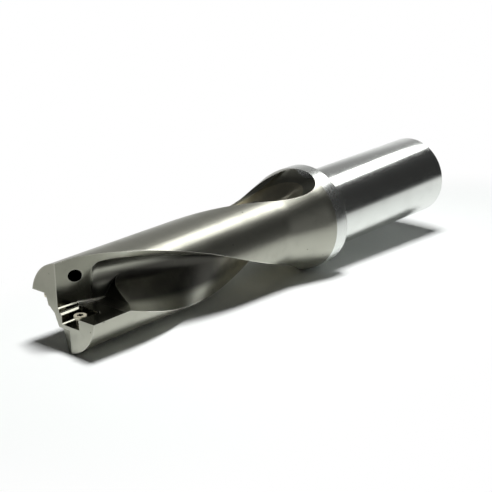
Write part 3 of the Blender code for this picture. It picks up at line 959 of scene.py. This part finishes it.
STRAW_DARK = (0.66, 0.61, 0.46, 1.0)
STRAW_PALE = (0.92, 0.87, 0.70, 1.0)
SOCKET_SHADE_COLOUR = (0.02, 0.02, 0.018, 1.0)
SOCKET_BAND = (1.0, 0.04)
BELOW_TOP_BAND = (0.08, 0.1)

screw_steel = bpy.data.materials.new("screw_steel_bright")
screw_steel.use_nodes = True
bright = screw_steel.node_tree.nodes["Principled BSDF"]
bright.inputs["Metallic"].default_value = SCREW_METALLIC
screw = Wire(screw_steel.node_tree, None)
screw_place = screw.out(screw.node("ShaderNodeTexCoord"), "Object")
brushed = screw.out(screw.node("ShaderNodeTexNoise", Vector=screw_place, Scale=4200.0, Detail=3.0))
tarnish = screw.out(screw.node("ShaderNodeTexNoise", Vector=screw_place, Scale=700.0, Detail=4.0))
paleness = ((tarnish - STRAW_START) / (STRAW_END - STRAW_START)).high(0.0).low(1.0)
straw = mixed_in(paleness, STRAW_DARK, STRAW_PALE)

# the socket is painted dark as shade: near either screw's axis, and below the top of its head
_, x, y, z = drill_coordinates(screw)
from_inner = screw.maths("ABSOLUTE", y - INNER_SCREW_SIDE)
from_outer = screw.maths("ABSOLUTE", y - OUTER_SCREW_SIDE)
from_axis = ((x - SCREW_SETBACK) ** 2 + from_inner.low(from_outer) ** 2) ** 0.5
between = (INNER_POCKET_FLOOR + OUTER_POCKET_FLOOR) / 2
half_way = between - INNER_POCKET_FLOOR - SCREW_STAND
below_top = screw.maths("ABSOLUTE", z - between) - half_way
socket_shade = (1 - from_axis.step(*SOCKET_BAND)) * below_top.step(*BELOW_TOP_BAND)
metal = mixed_in(socket_shade, straw, SOCKET_SHADE_COLOUR)
screw_roughness = SCREW_ROUGHNESS + tarnish * TARNISH_ROUGHNESS
screw_bump = screw.node("ShaderNodeBump", Height=brushed, Distance=0.004 * MM, Strength=0.6)
screw.tree.links.new(metal.socket, bright.inputs["Base Color"])
screw.tree.links.new(screw_roughness.socket, bright.inputs["Roughness"])
screw.tree.links.new(screw_bump.outputs[0], bright.inputs["Normal"])


def thread_tree():
    """A thin ridge wound round the screw: pitch and length give the number of turns."""
    tree = bpy.data.node_groups.new("screw_thread", "GeometryNodeTree")
    keys = group_inputs(tree, "Ridge", ("Radius", "Pitch", "Length"))
    tree.interface.new_socket("Thread", in_out="OUTPUT", socket_type="NodeSocketGeometry")
    entry = tree.nodes.new("NodeGroupInput")
    given = {socket.name: Wire(tree, socket) for socket in entry.outputs}
    wire = given["Ridge"]
    spiral = wire.node(
        "GeometryNodeCurveSpiral",
        Resolution=THREAD_TURN_STEPS,
        Rotations=given["Length"] / given["Pitch"],
        Start_Radius=given["Radius"],
        End_Radius=given["Radius"],
        Height=given["Length"],
    )
    ridge = wire.out(wire.node("GeometryNodeMeshToCurve", Mesh=wire))
    wound = wire.node("GeometryNodeCurveToMesh", Curve=wire.out(spiral), Profile_Curve=ridge, Fill_Caps=True)
    whole = wire.out(wire.node("GeometryNodeRealizeInstances", Geometry=wire.out(wound)))
    painted = wire.out(wire.node("GeometryNodeSetMaterial", Geometry=whole, Material=given["Material"]))
    leave = tree.nodes.new("NodeGroupOutput")
    tree.links.new(painted.socket, leave.inputs["Thread"])
    return tree, keys


thread_winding, thread_keys = thread_tree()


def wound_thread(length):
    """The thread's mesh, from z = 0 up to the length."""
    ridge = bpy.data.meshes.new("thread_ridge")
    corners = [(-THREAD_SINK, -THREAD_HALF, 0), (-THREAD_SINK, THREAD_HALF, 0), (THREAD_HEIGHT, 0, 0)]
    ridge.from_pydata(corners, [(0, 1), (1, 2), (2, 0)], [])
    thread = bpy.data.objects.new("thread", ridge)
    bpy.context.scene.collection.objects.link(thread)
    winding = thread.modifiers.new("winding", "NODES")
    winding.node_group = thread_winding
    values = {"Radius": ROOT_RADIUS, "Pitch": THREAD_PITCH, "Length": length, "Material": screw_steel}
    for key, value in values.items():
        winding[thread_keys[key]] = value
    wound = as_modified(thread)
    bpy.data.objects.remove(thread)
    return wound


def screw_mesh(name):
    """Screw along Z, with the middle of its head's top at the origin."""
    cone_end = -HEAD_RIM - HEAD_CONE
    profile = [
        (0.0, SOCKET_RADIUS + SOCKET_LOBE + SOCKET_BORDER),
        (0.0, HEAD_RADIUS),
        (-HEAD_RIM, HEAD_RADIUS),
        (cone_end, ROOT_RADIUS),
        (-SCREW_LENGTH + TIP_CHAMFER, ROOT_RADIUS),
        (-SCREW_LENGTH, ROOT_RADIUS - TIP_CHAMFER),
        (-SCREW_LENGTH, TIP_CHAMFER),
    ]
    angles = [math.tau * i / SCREW_SEGMENTS for i in range(SCREW_SEGMENTS)]
    rings = []
    for z, radius in rounded(profile, SCREW_ROUND):
        rings.append([(*polar(radius, angle), z) for angle in angles])
    star = []
    for angle in angles:
        star.append(polar(SOCKET_RADIUS + SOCKET_LOBE * math.cos(SOCKET_LOBES * angle), angle))
    funnel = [(*(point * FUNNEL_SPREAD), 0.0) for point in star]
    mouth = [(*point, -FUNNEL_DEPTH) for point in star]
    bottom = [(*point, -SOCKET_DEPTH) for point in star]
    form = lofted(name, [bottom, mouth, funnel, *rings])
    length = SCREW_LENGTH + cone_end - TIP_FREE
    wound = wound_thread(length)
    wound.transform(Matrix.Translation((0, 0, cone_end - THREAD_DROP - length)))
    bm = bmesh.new()
    bm.from_mesh(form.data)
    bm.from_mesh(wound)
    bmesh.ops.recalc_face_normals(bm, faces=bm.faces)
    bm.to_mesh(form.data)
    bm.free()
    form.data.materials.clear()
    form.data.materials.append(screw_steel)
    return form


for name, node, side, floor, sign in (
    ("inner_screw", "inner_insert_screw", INNER_SCREW_SIDE, INNER_POCKET_FLOOR, 1),
    ("outer_screw", "outer_insert_screw", OUTER_SCREW_SIDE, OUTER_POCKET_FLOOR, -1),
):
    piece = screw_mesh(name)
    turn_over = Matrix.Rotation(0.0 if sign == 1 else math.pi, 4, "X")
    piece.data.transform(Matrix.Translation((SCREW_SETBACK, side, floor + sign * SCREW_STAND)) @ turn_over)
    laid_down(piece, SCREW_SHARP_ANGLE)
    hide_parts(node)
    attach(piece, "root")


# Camera: it stands where the photograph was taken from, above and beside the cutting end,
# as a fit of the drill's edges to the photograph gave it.

camera_data = bpy.data.cameras.new("camera")
camera_data.sensor_width = 36.0
camera_data.lens = 94.751
camera = bpy.data.objects.new("camera", camera_data)
bpy.context.scene.collection.objects.link(camera)
camera.location = (-0.277046, -0.242306, 0.126533)
camera.rotation_euler = (1.266001, 0.0, -0.839176)
bpy.context.scene.camera = camera
bpy.context.scene.view_settings.view_transform = "Standard"


# Lights: a softbox overhead lights the table, a long strip light beyond the shank draws
# the bright line along the drill, and a dim lamp hangs behind the drill.

def area_light(name, place, width, length, radiance, turned_in_plan=0.0):
    data = bpy.data.lights.new(name, "AREA")
    data.shape = "RECTANGLE"
    data.size = length
    data.size_y = width
    data.energy = radiance * math.pi * width * length
    lamp = bpy.data.objects.new(name, data)
    bpy.context.scene.collection.objects.link(lamp)
    lamp.location = place
    lamp.rotation_euler = (0, 0, turned_in_plan)
    return lamp


softbox = area_light("softbox", place=(0.0, -0.05, 0.60), width=0.15, length=0.19, radiance=43.0)
softbox.visible_glossy = False
strip_light = area_light(
    "strip_light",
    place=(0.40, -0.01, 0.416),
    width=0.165,
    length=0.58,
    radiance=4.5,
    turned_in_plan=math.radians(27),
)
strip_light.visible_diffuse = False
back_lamp = area_light("back_lamp", place=(0.05, 0.27, 0.42), width=0.12, length=0.26, radiance=2.5)
back_lamp.visible_diffuse = False


# Room: the camera sees plain white. The metal sees a dim room with a pale backdrop beyond
# the drill and a doorway to its front, both fading upwards; bearings go from +X to +Y.

BACKDROP_BEARING = math.radians(38)
BACKDROP_HALF = 0.42
BACKDROP_TOP = (0.25, 0.5)
BACKDROP_LEVEL = 0.28
BACKDROP_FOOT_LEVEL = 0.55
BACKDROP_DIFFUSE = 0.25
DOORWAY_BEARING = math.radians(-70)
DOORWAY_HALF = 0.25
DOORWAY_TOP = (0.45, 0.5)
DOORWAY_LEVEL = 0.2
SIDE_FADE = 0.2
ROOM_LEVEL = 0.032

world = bpy.data.worlds.new("studio")
world.use_nodes = True
bpy.context.scene.world = world
sky = Wire(world.node_tree, None)
direction = sky.out(sky.node("ShaderNodeTexCoord"), "Generated")
parts = sky.node("ShaderNodeSeparateXYZ", Vector=direction)
up = sky.out(parts, "Z")
bearing = sky.maths("ARCTAN2", sky.out(parts, "Y"), sky.out(parts, "X"))


def ray_kinds(wire):
    """Wires that are 1 for camera rays, and for mirror rays (glossy or transmitted)."""
    light_path = wire.node("ShaderNodeLightPath")
    glossy = wire.out(light_path, "Is Glossy Ray")
    return wire.out(light_path, "Is Camera Ray"), glossy.high(wire.out(light_path, "Is Transmission Ray"))


camera_ray, mirror_ray = ray_kinds(sky)
backdrop = bearing.within(BACKDROP_BEARING, BACKDROP_HALF, SIDE_FADE)
backdrop = backdrop * (BACKDROP_LEVEL + BACKDROP_FOOT_LEVEL * (1 - up.step(*BACKDROP_TOP)))
doorway = bearing.within(DOORWAY_BEARING, DOORWAY_HALF, SIDE_FADE) * (1 - up.step(*DOORWAY_TOP))
room = ROOM_LEVEL + doorway * DOORWAY_LEVEL + mirror_ray.high(BACKDROP_DIFFUSE) * backdrop
level = camera_ray + (1 - camera_ray) * room
background = world.node_tree.nodes["Background"]
background.inputs["Color"].default_value = (1, 1, 1, 1)
world.node_tree.links.new(level.socket, background.inputs["Strength"])


# Table: a matt white sheet. The camera sees plain white everywhere but in the drill's
# shadow; for the metal and for stray light the sheet's colour darkens from just in front of
# the drill into a dark bench, a long darkening that is painted falloff of light.

TABLE_HALF = 1.5
SHADOW_REACH = 0.065
SHADOW_FADE = 0.05
BEHIND_FACTOR = 1.6
SHEET_FRONT = -0.0775
SHEET_FADE = 0.145
SHEET_COLOUR = (0.93, 0.95, 0.94, 1)
BENCH_FALLOFF_COLOUR = (0.07, 0.07, 0.07, 1)
WHITE = (1, 1, 1, 1)

bm = bmesh.new()
bmesh.ops.create_grid(bm, x_segments=1, y_segments=1, size=TABLE_HALF)
sheet_mesh = bpy.data.meshes.new("table_sheet")
bm.to_mesh(sheet_mesh)
bm.free()
sheet = bpy.data.objects.new("table_sheet", sheet_mesh)
bpy.context.scene.collection.objects.link(sheet)
paper = bpy.data.materials.new("white_paper")
paper.use_nodes = True
matt = paper.node_tree.nodes["Principled BSDF"]
matt.inputs["Roughness"].default_value = 1.0
matt.inputs["Specular IOR Level"].default_value = 0.0
table = Wire(paper.node_tree, None)
table_place = table.out(table.node("ShaderNodeTexCoord"), "Object")
parts = table.node("ShaderNodeSeparateXYZ", Vector=table_place)
along = table.out(parts, "X")
across = table.out(parts, "Y")
past_end = (table.maths("ABSOLUTE", along) - SHANK_END * MM / 2).high(0.0)
aside = across.high(0.0) * BEHIND_FACTOR - across.low(0.0)
distance = (past_end * past_end + aside * aside) ** 0.5
camera_ray, mirror_ray = ray_kinds(table)
on_sheet = across.step(SHEET_FRONT, SHEET_FADE)
plain = distance.step(SHADOW_REACH, SHADOW_FADE) * (camera_ray + mirror_ray * on_sheet)
fibres = table.out(table.node("ShaderNodeTexNoise", Vector=table_place, Scale=900.0, Detail=4.0))
# painted shade: for all but camera rays the sheet's colour darkens in front of the drill, as falloff of light
bench_falloff = mixed_in((1 - on_sheet) * (1 - camera_ray), SHEET_COLOUR, BENCH_FALLOFF_COLOUR)
nap = table.node("ShaderNodeBump", Height=fibres, Distance=0.05 * MM, Strength=0.3)
white = table.node("ShaderNodeEmission", Color=WHITE, Strength=1.0)
blend = table.node("ShaderNodeMixShader", Fac=plain)
surface = paper.node_tree.nodes["Material Output"].inputs["Surface"]
paper.node_tree.links.new(bench_falloff.socket, matt.inputs["Base Color"])
paper.node_tree.links.new(nap.outputs[0], matt.inputs["Normal"])
paper.node_tree.links.new(matt.outputs[0], blend.inputs[1])
paper.node_tree.links.new(white.outputs[0], blend.inputs[2])
paper.node_tree.links.new(blend.outputs[0], surface)
sheet.data.materials.append(paper)
